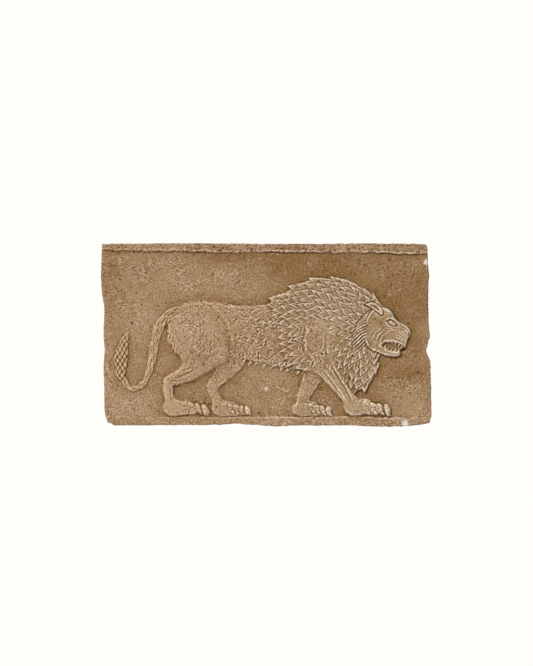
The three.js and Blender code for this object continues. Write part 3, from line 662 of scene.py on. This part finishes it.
def carve_face(carving, face):
    """Muzzle, cheek, brow, lips, snarl wrinkles, whisker lines, nostril and eye."""

    def swell(x, y, half_x, half_y, turn, out, power=1.0):
        (at, height), = in_head([[x, y]])
        carving.mound(at, height, half_x * HEAD_SCALE, half_y * HEAD_SCALE, turn + HEAD_TILT, out, power, add=True)

    def line(points, out, width, fade=6.0):
        carving.stroke(in_head(points), out, width, fade, only=face)

    swell(20, 2, 8, 8, -20, 0.8)
    swell(-7, -4, 9, 13, 8, 0.7)
    swell(2, 19, 7, 4, -24, 0.6)
    swell(17, -17.6, 8, 3.6, 8, 0.6)
    carve_mouth(carving)
    line([[28, -5.4], [20, -4.2], [12, -5], [3.8, -9.6], [2.4, -13.8], [5.6, -16.4]], 1.0, 0.8)
    line([[25.4, -13.2], [19, -15], [11, -16.2], [5, -16.6]], 0.9, 0.8)
    for i in range(WRINKLES):
        wrinkle = [[x + i * WRINKLE_STEP[0], y + i * WRINKLE_STEP[1]] for x, y in WRINKLE_LINE]
        line(wrinkle, 0.8 - 0.12 * i, 0.6, 4)
        line([[x - 1.3, y - 1.1] for x, y in wrinkle], -0.5, 0.6, 4)
    line([[15, 12], [19.6, 11.6], [24.4, 9.4]], -0.7, 0.7)
    line([[15.6, 9.4], [19.6, 8.6], [23.4, 6.4]], -0.6, 0.65)
    for row in range(3):
        y = -2.2 * row
        line([[13, 2.8 + y], [18.5, 2.4 + y], [24.6, 1.4 + 0.8 * y]], -0.6, 0.5)
    line([[-6, 22.6], [2, 20.8], [8, 16.6], [14, 14.2], [20, 12.8]], 0.6, 1.1)
    swell(26, 7.4, 1.9, 1.3, -40, -1.6, 0.6)
    swell(6.4, 11.4, 6.4, 4.4, -12, -1.2, 0.6)
    swell(6.4, 11.4, 3.7, 2.4, -10, 1.9, 0.6)
    line([[-0.6, 12.2], [3.6, 15.8], [9, 15], [13.2, 10.8]], 1.0, 0.75)
    line([[-0.4, 11], [3.8, 8], [9, 8.4], [12.8, 10.2]], 0.8, 0.65)
    swell(6.8, 11.4, 1.1, 1.1, 0, -0.8, 0.6)
    for i in range(5):
        x = 16 - 4 * i
        line([[x, -18.4], [x - 1.4, -20.4], [x - 3, -22.4]], 0.6, 0.8)


def carve_head(carving):
    view, inset = carving.fuse(
        [loop(in_head(HEAD_OUTLINE), HEAD["crown"], HEAD["swell"])], HEAD["rise"], edge=1.6, covers=True)
    face = np.zeros(carving.out.shape, bool)
    face[view] = inset > 0.2
    carving.crisp = np.maximum(carving.crisp, 0.7 * face)
    carve_face(carving, face)
    carving.stroke(in_head(HEAD_RIM), 0.8, 0.95, fade=9)
    carving.fuse([limb(in_head(EAR_LINE), 0.6)], 4.0, edge=1.2, covers=True, groove=0.6, groove_width=0.7)
    hollow = smooth_line(in_head(EAR_HOLLOW), 5)
    view = carving.window(hollow, 4)
    _, across = limb_distance(carving.X[view], carving.H[view], hollow)
    carving.out[view] -= 1.4 * np.clip(1 - across, 0, 1)**0.6


def wear(carving):
    """Bends the carved lines to and fro a little, softens them in patches, and adds crust and dents."""
    x, z = carving.X, carving.Z
    across, up = HAND_WAVER * layered_noise(x, z, 6, 23), HAND_WAVER * layered_noise(x, z, 6, 26)
    carving.out = shifted(carving.out, across, up)
    carving.crisp = shifted(carving.crisp, across, up)
    soft, worn = blurred(carving.out, 0.28), blurred(carving.out, 1.2)
    patch = np.clip(0.3 + 1.3 * layered_noise(x, z, 14, 31), 0, 1) * (0.6 - 0.3 * blurred(carving.crisp, 1.5))
    out = soft * (1 - patch) + worn * patch
    out -= LEVELLING * np.maximum(blurred(out, 4.0) - LEVEL, 0)
    out += 0.25 * layered_noise(x, z, 22, 41)
    out += COARSE_CRUST * layered_noise(x, z, 3.0, 51, 2) + FINE_CRUST * noise(x, z, 1.15, 61)
    carving.out = out
    for line in SCRATCHES:
        carving.stroke(line, 0.5, 0.5, only=np.ones(out.shape, bool))
    for x, h, radius in BUBBLES:
        circle = [[x + radius * math.cos(t), h + radius * math.sin(t)] for t in np.linspace(0.4, 6, 9)]
        carving.stroke(circle, 0.3, 0.5, only=np.ones(out.shape, bool))
    carving.out = np.minimum(carving.out, MOST_OUT)


def carve_pits(carving):
    """Bubbles of the casting that show as small pits, most of them along the top band."""
    for x, h, radius in DEEP_PITS:
        carving.mound(x, h, radius, 0.8 * radius, 30 * x, -1.5, power=1, add=True)
    random = np.random.default_rng(7)
    for _ in range(PITS):
        at = random.uniform([-149, 0], [147, 156])
        if random.uniform() < 0.5:
            at[1] = 148 + 9 * random.uniform()
        radius = random.uniform(0.45, 0.85)
        if random.uniform() < 0.05:
            radius *= 1.6
        carving.mound(at[0], at[1], radius, radius * random.uniform(0.6, 1.3), random.uniform(0, 180),
                      -1.0 * radius, power=1, add=True)


def edge_line(edge, along):
    points = np.array(edge, float)
    return np.interp(along, points[:, 0], points[:, 1])


def panel_points(carving):
    """The front's points, with the map's straight edges pulled onto the slab's chipped outline."""
    x, z = carving.X, carving.Z
    (x0, x1), (z0, z1) = carving.x[[0, -1]], carving.z[[0, -1]]

    def near(distance):
        t = np.clip(1 - distance / EDGE_REACH, 0, 1)
        return t * t * (3 - 2 * t)

    rough_left = edge_line(LEFT_EDGE, z) + EDGE_ROUGHNESS * (1 + layered_noise(x * 0, z, 3, 71)) / 2
    rough_right = edge_line(RIGHT_EDGE, z) - EDGE_ROUGHNESS * (1 + layered_noise(x * 0, z, 3, 72)) / 2
    rough_top = edge_line(TOP_EDGE, x) - EDGE_ROUGHNESS * (1 + layered_noise(x, z * 0, 3, 73)) / 2
    rough_bottom = edge_line(BOTTOM_EDGE, x) + EDGE_ROUGHNESS * (1 + layered_noise(x, z * 0, 3, 74)) / 2
    px = x + (rough_left - x0) * near(x - x0) + (rough_right - x1) * near(x1 - x)
    pz = z + (rough_bottom - z0) * near(z - z0) + (rough_top - z1) * near(z1 - z)
    distance = np.minimum(np.minimum(x - x0, x1 - x), np.minimum(z - z0, z1 - z))
    radius = 1.1 + 0.9 * np.clip(layered_noise(x, z, 7, 81), -0.6, 1)
    fall = np.clip(1 - distance / radius, 0, 1)
    drop = radius * (1 - np.sqrt(np.clip(1 - fall**2, 0, 1)))
    return np.stack([px, -(FIELD_THICKNESS + carving.out - drop), pz], axis=-1)


def ring_indices(columns, rows, stride=1):
    """Indices of a grid's edge points, anticlockwise from the lower left as the front is seen."""
    bottom = [(0, i) for i in range(0, columns, stride)]
    right = [(j, columns) for j in range(0, rows, stride)]
    top = [(rows, i) for i in range(columns, 0, -stride)]
    left = [(j, 0) for j in range(rows, 0, -stride)]
    return np.array(bottom + right + top + left)


def panel_mesh(carving, colours):
    """One closed mesh: the carved front, rough sides, and a flat back in coarser faces."""
    front = panel_points(carving)
    rows, columns = front.shape[0] - 1, front.shape[1] - 1
    grid = np.arange((rows + 1) * (columns + 1)).reshape(rows + 1, columns + 1)
    points = [front.reshape(-1, 3)]
    faces = [np.stack([grid[:-1, :-1], grid[:-1, 1:], grid[1:, 1:], grid[1:, :-1]], -1).reshape(-1, 4)]

    ring = ring_indices(columns, rows)
    edge = front[ring[:, 0], ring[:, 1]]
    inward = -np.stack([
        np.where(ring[:, 1] == 0, -1.0, np.where(ring[:, 1] == columns, 1.0, 0.0)),
        np.zeros(len(ring)),
        np.where(ring[:, 0] == 0, -1.0, np.where(ring[:, 0] == rows, 1.0, 0.0)),
    ], -1)
    around = np.arange(len(ring)) * STEP
    last = grid[ring[:, 0], ring[:, 1]]
    count = grid.size
    for row in range(1, WALL_ROWS):
        depth = edge[:, 1] * (1 - row / WALL_ROWS)
        dent = 0.35 * (1 + layered_noise(around, depth, 5, 91)) + 0.25 * (1 + noise(around, depth, 1.6, 95)) / 2
        wall = edge + inward * (dent * min(1, row / 2))[:, None]
        wall[:, 1] = depth
        points.append(wall)
        current = count + np.arange(len(ring))
        faces.append(np.stack([last, current, np.roll(current, -1), np.roll(last, -1)], -1))
        last = current
        count += len(ring)

    back = front[::BACK_STRIDE, ::BACK_STRIDE].copy()
    back_rows, back_columns = back.shape[0] - 1, back.shape[1] - 1
    back[..., 1] = 0.0
    back_ring = ring_indices(back_columns, back_rows)
    back[back_ring[:, 0], back_ring[:, 1]] += inward[::BACK_STRIDE] * BACK_ROUNDING
    points.append(back.reshape(-1, 3))
    back_grid = count + np.arange(back[..., 0].size).reshape(back.shape[:2])
    quads = np.stack([back_grid[:-1, :-1], back_grid[1:, :-1], back_grid[1:, 1:], back_grid[:-1, 1:]], -1)
    faces.append(quads.reshape(-1, 4))
    coarse = back_grid[back_ring[:, 0], back_ring[:, 1]]
    triangles = []
    for k, corner in enumerate(coarse):
        following = coarse[(k + 1) % len(coarse)]
        fine = [last[(k * BACK_STRIDE + i) % len(last)] for i in range(BACK_STRIDE + 1)]
        middle = BACK_STRIDE // 2
        for i in range(BACK_STRIDE):
            triangles.append([fine[i], corner if i < middle else following, fine[i + 1]])
        triangles.append([fine[middle], corner, following])

    mesh = bpy.data.meshes.new("lion_panel")
    all_faces = np.vstack(faces).tolist() + triangles
    mesh.from_pydata((np.vstack(points) * MM).tolist(), [], all_faces)
    for name, values in colours.items():
        layer = mesh.attributes.new(name, "FLOAT", "POINT")
        full = np.zeros(len(mesh.vertices), np.float32)
        full[:values.size] = values.reshape(-1)
        layer.data.foreach_set("value", full)
    return mesh


def thinned(piece, triangles):
    """The piece's mesh collapsed to about a number of triangles, keeping its sharp detail."""
    piece.data.calc_loop_triangles()
    thin = piece.modifiers.new("thin", "DECIMATE")
    thin.ratio = min(1.0, triangles / len(piece.data.loop_triangles))
    done = piece.evaluated_get(bpy.context.evaluated_depsgraph_get())
    mesh = bpy.data.meshes.new_from_object(done)
    piece.modifiers.clear()
    old, piece.data = piece.data, mesh
    bpy.data.meshes.remove(old)
    mesh.name = "lion_panel"


def linear(red, green, blue):
    """A colour given as screen values from 0 to 255, in the linear values that shaders take."""
    def channel(value):
        value /= 255
        return value / 12.92 if value <= 0.04045 else ((value + 0.055) / 1.055)**2.4
    return channel(red), channel(green), channel(blue), 1.0


def casting_material():
    material = bpy.data.materials.new("cast_stone")
    material.use_nodes = True
    nodes, links = material.node_tree.nodes, material.node_tree.links
    shader = nodes["Principled BSDF"]
    shader.inputs["Roughness"].default_value = 0.92
    shader.inputs["Specular IOR Level"].default_value = 0.2
    place = nodes.new("ShaderNodeTexCoord").outputs["Object"]

    def texture(scale, detail, roughness=0.55):
        node = nodes.new("ShaderNodeTexNoise")
        node.inputs["Scale"].default_value = scale
        node.inputs["Detail"].default_value = detail
        node.inputs["Roughness"].default_value = roughness
        links.new(place, node.inputs["Vector"])
        return node.outputs["Fac"]

    def graded(value, low, high):
        node = nodes.new("ShaderNodeMapRange")
        node.inputs["From Min"].default_value = low
        node.inputs["From Max"].default_value = high
        links.new(value, node.inputs["Value"])
        return node.outputs["Result"]

    def product(value, other):
        node = nodes.new("ShaderNodeMath")
        node.operation = "MULTIPLY"
        links.new(value, node.inputs[0])
        if isinstance(other, float):
            node.inputs[1].default_value = other
        else:
            links.new(other, node.inputs[1])
        return node.outputs[0]

    def tinted(factor, under, colour, strength=1.0):
        mix = nodes.new("ShaderNodeMix")
        mix.data_type = "RGBA"
        links.new(product(factor, strength), mix.inputs["Factor"])
        for value, socket in ((under, mix.inputs["A"]), (colour, mix.inputs["B"])):
            if isinstance(value, tuple):
                socket.default_value = value
            else:
                links.new(value, socket)
        return mix.outputs["Result"]

    def attribute(name):
        node = nodes.new("ShaderNodeAttribute")
        node.attribute_name = name
        return node.outputs["Fac"]

    across = nodes.new("ShaderNodeSeparateXYZ")
    links.new(place, across.inputs[0])
    grain, patches = texture(900, 2, 0.6), texture(24, 5, 0.6)
    colour = tinted(graded(across.outputs["X"], -0.15, 0.16), linear(158, 127, 93), linear(143, 111, 73))
    colour = tinted(graded(texture(15, 4), 0.45, 0.68), colour, linear(124, 90, 52), 0.5)
    colour = tinted(graded(patches, 0.48, 0.68), colour, linear(172, 144, 113), 0.6)
    # The brown mark: the stains, a darker band round the figure's foot, and painted shade in the broad hollows
    # between forms.
    colour = tinted(attribute("brown"), colour, linear(124, 88, 42), 0.72)
    # The pale mark: pale stains, and a painted highlight on the crowns of the forms.
    colour = tinted(attribute("pale"), colour, linear(182, 156, 127), 0.65)
    coarse = graded(texture(55, 3, 0.6), 0.2, 0.62)
    quiet = graded(attribute("crisp"), 2.2, 0.2)
    sparse = product(product(graded(grain, 0.51, 0.66), coarse), quiet)
    light_grains = product(sparse, graded(attribute("brown"), 1.4, -0.2))
    colour = tinted(light_grains, colour, linear(214, 192, 164), 0.95)
    colour = tinted(product(product(graded(grain, 0.47, 0.33), coarse), quiet), colour, linear(82, 50, 10), 0.9)
    colour = tinted(graded(texture(260, 2), 0.63, 0.72), colour, linear(82, 50, 10), 0.55)
    # Painted shade, partly grime: the carving's fine hollows and creases darkened to brown.
    colour = tinted(attribute("grime_and_shade"), colour, linear(84, 52, 11), 0.85)
    # Painted highlight, partly rubbed wear: the high edges lightened, more orange towards the left.
    pale = tinted(graded(across.outputs["X"], -0.09, 0.04), linear(212, 178, 136), linear(226, 207, 184))
    colour = tinted(product(attribute("rubbed_and_highlit"), graded(texture(300, 3), 0.25, 0.6)), colour, pale, 0.95)
    colour = tinted(attribute("bare"), colour, linear(226, 216, 206), 0.85)
    links.new(colour, shader.inputs["Base Color"])

    bump = nodes.new("ShaderNodeBump")
    bump.inputs["Strength"].default_value = 1.0
    bump.inputs["Distance"].default_value = BUMP_DEPTH
    links.new(grain, bump.inputs["Height"])
    links.new(bump.outputs["Normal"], shader.inputs["Normal"])
    return material


def surface_marks(carving, unpitted):
    """Where grime and painted shade darken the fine hollows, where the high parts are rubbed pale and take a
    painted highlight, and where pale plaster shows bare; also the stains, a darker band round the figure, a painted
    highlight on the crowns of the forms and painted shade in their broad hollows.
    """
    out = carving.out
    fine = np.clip(out - blurred(out, 0.7), -0.25, 0.25)
    high = np.clip(unpitted - blurred(unpitted, 0.7), 0, 0.25)
    uneven = 0.7 + 0.7 * layered_noise(carving.X, carving.Z, 4, 97) + 0.7 * carving.crisp
    # Painted shade, partly grime, where the surface lies below its close surroundings.
    grime_and_shade = np.clip(-fine * 5.0 * uneven - 0.1, 0, 1)
    # Painted highlight, partly rubbed wear, where the surface stands above its close surroundings.
    rubbed_and_highlit = np.clip(high * 6.0 * uneven - 0.1, 0, 1) * (out > unpitted - 0.05)
    bare = np.zeros_like(out)
    for x, z, size in BARE_SPOTS:
        away = np.hypot(carving.X - x, carving.Z - z) + 0.8 * noise(carving.X, carving.Z, 2.0, 99)
        bare = np.maximum(bare, np.clip((size - away) / 0.6, 0, 1))
    marks = {"grime_and_shade": grime_and_shade, "rubbed_and_highlit": rubbed_and_highlit, "bare": bare, "crisp": blurred(carving.crisp, 0.8)}
    # Painted highlight on the crowns of the larger forms, added to the pale mark.
    crown_highlight = np.clip(0.7 * (out - blurred(out, 9.0)), 0, 0.7)
    figure = (blurred(out, 1.0) > 0.7) & (carving.Z < BAND_FOOT - 2) & (carving.Z > LEDGE_TOP + 1)
    broad = blurred(out, 1.0) - blurred(out, 6.0)
    halo = 0.55 * np.clip(blurred(figure.astype(float), 4.0) * 2, 0, 1) * (1 - blurred(figure.astype(float), 1.0))
    for name, patches in STAINS.items():
        stain = np.zeros_like(out)
        for x, z, half_x, half_z, strength in patches:
            away = np.hypot((carving.X - x) / half_x, (carving.Z - z) / half_z)
            away += 0.35 * layered_noise(carving.X, carving.Z, 14, 87)
            stain = np.maximum(stain, strength * np.clip(1.35 - away, 0, 1))
        marks[name] = stain
    marks["pale"] = np.maximum(marks["pale"], crown_highlight)
    marks["brown"] = np.maximum(marks["brown"], halo * (0.6 + 0.6 * layered_noise(carving.X, carving.Z, 18, 89)))
    # Painted shade: the broad hollows between the forms darkened brown.
    marks["brown"] = np.clip(marks["brown"] + np.clip(-0.8 * broad, 0, 0.5), 0, 1)
    return marks


# Spots where pale plaster shows: [x, z, half width]
BARE_SPOTS = [
    [146.4, 66, 2.6], [124.5, -80.2, 3.0], [-1, -48.6, 1.8], [4.8, -64.8, 0.9],
    [20, -54.4, 0.9], [27.4, -54, 0.8], [-146.5, -30, 1.0],
]


# Stains over the front: [x, z, half width, half height, strength] of each soft patch
STAINS = {
    "brown": [
        [128, 30, 34, 46, 0.85], [70, 62, 50, 14, 0.8], [128, -34, 22, 8, 0.9], [-25, 70, 36, 12, 0.7],
        [18, 66, 28, 20, 1.0], [-90, 30, 18, 14, 0.3], [-142, 56, 14, 44, 0.45], [138, -6, 14, 20, 0.7],
    ],
    "pale": [
        [-64, 4, 20, 22, 0.8], [-90, 8, 24, 16, 0.4], [-128, -62, 26, 14, 0.5], [60, 20, 26, 24, 0.6],
        [132, -66, 22, 14, 0.6], [0, -30, 30, 12, 0.3],
    ],
}


def relief_piece():
    carving = Carving()
    carve_frame(carving)
    carve_tail(carving)
    carve_far_legs(carving)
    carve_torso(carving)
    carve_fringe(carving)
    carve_near_hind_leg(carving)
    carve_mane(carving)
    carve_near_fore_leg(carving)
    carve_fur(carving)
    carve_ruff(carving)
    carve_head(carving)
    wear(carving)
    unpitted = carving.out.copy()
    carve_pits(carving)
    piece = bpy.data.objects.new("lion_panel", panel_mesh(carving, surface_marks(carving, unpitted)))
    bpy.context.collection.objects.link(piece)
    thinned(piece, TRIANGLES)
    piece.data.polygons.foreach_set("use_smooth", np.ones(len(piece.data.polygons), bool))
    piece.data.materials.clear()
    piece.data.materials.append(casting_material())
    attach(piece, "root")
    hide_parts("relief_panel")


def studio():
    """A pale floor below the hung plaque, a soft surround, and a key light from the upper left.

    The surround looks white and lights the plaque less than it would, so that the key shapes the relief.
    """
    bpy.ops.mesh.primitive_plane_add(size=2.4, location=(0, 0, -0.46))
    floor = bpy.context.object
    floor.name = "floor"
    pale = bpy.data.materials.new("pale_floor")
    pale.use_nodes = True
    pale.node_tree.nodes["Principled BSDF"].inputs["Base Color"].default_value = linear(240, 238, 234)
    pale.node_tree.nodes["Principled BSDF"].inputs["Roughness"].default_value = 0.9
    floor.data.materials.append(pale)

    sun = bpy.data.lights.new("key", "SUN")
    sun.energy = 2.7
    sun.angle = math.radians(10)
    key = bpy.data.objects.new("key", sun)
    key.rotation_euler = Vector((0.55, 0.85, -0.66)).to_track_quat("-Z", "Y").to_euler()
    bpy.context.collection.objects.link(key)

    world = bpy.data.worlds.new("surround")
    world.use_nodes = True
    nodes, links = world.node_tree.nodes, world.node_tree.links
    seen = nodes.new("ShaderNodeLightPath").outputs["Is Camera Ray"]
    strength = nodes.new("ShaderNodeMapRange")
    strength.inputs["To Min"].default_value = 0.42
    links.new(seen, strength.inputs["Value"])
    nodes["Background"].inputs["Color"].default_value = linear(255, 253, 250)
    links.new(strength.outputs["Result"], nodes["Background"].inputs["Strength"])
    bpy.context.scene.world = world
    bpy.context.scene.view_settings.view_transform = "Standard"


# The photograph's frame: 533 by 666 pixels, 0.9036 mm each, with the plaque's middle at (267.2, 335.3)
PIXEL = 0.9036 * MM
FRAME_WIDTH, FRAME_HEIGHT = 533, 666
CAMERA_DISTANCE = 2.6


def camera():
    data = bpy.data.cameras.new("camera")
    data.sensor_fit = "VERTICAL"
    data.sensor_height = 24
    surface = CAMERA_DISTANCE - FIELD_THICKNESS * MM
    data.lens = data.sensor_height * surface / (FRAME_HEIGHT * PIXEL)
    view = bpy.data.objects.new("camera", data)
    across = (FRAME_WIDTH / 2 - 267.2) * PIXEL
    up = (335.25 - FRAME_HEIGHT / 2) * PIXEL
    view.location = (across, -CAMERA_DISTANCE, up)
    view.rotation_euler = (math.radians(90), 0, 0)
    bpy.context.collection.objects.link(view)
    bpy.context.scene.camera = view


camera()
relief_piece()
studio()
